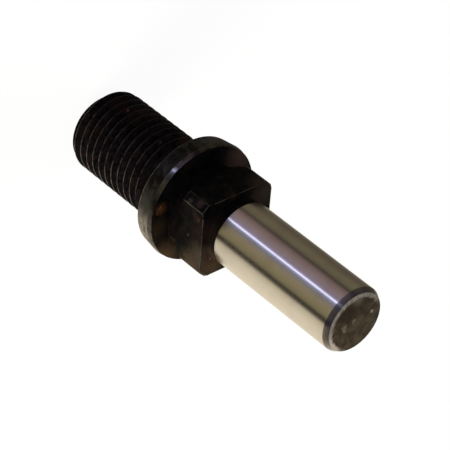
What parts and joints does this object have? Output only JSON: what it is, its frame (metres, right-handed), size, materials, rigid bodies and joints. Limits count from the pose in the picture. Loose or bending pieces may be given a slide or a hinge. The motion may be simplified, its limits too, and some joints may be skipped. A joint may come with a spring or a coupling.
{
  "type": "shouldered square-neck stud",
  "caption": "Turned steel stud: threaded shank, round flange, square spanner section and a ground plain pin on one axis.",
  "frame": {"origin": "centre of the flat end face of the thread, on the turning axis", "axes": "+Z along the turning axis from the threaded end to the ground pin; +X through a corner of the square"},
  "size_m": [0.0258, 0.0258, 0.0759],
  "materials": {
    "steel": "black-oxided turned steel with rust specks; the long plain pin is ground bright"
  },
  "bodies": {
    "root": {"stud": "steel"}
  },
  "joints": []
}
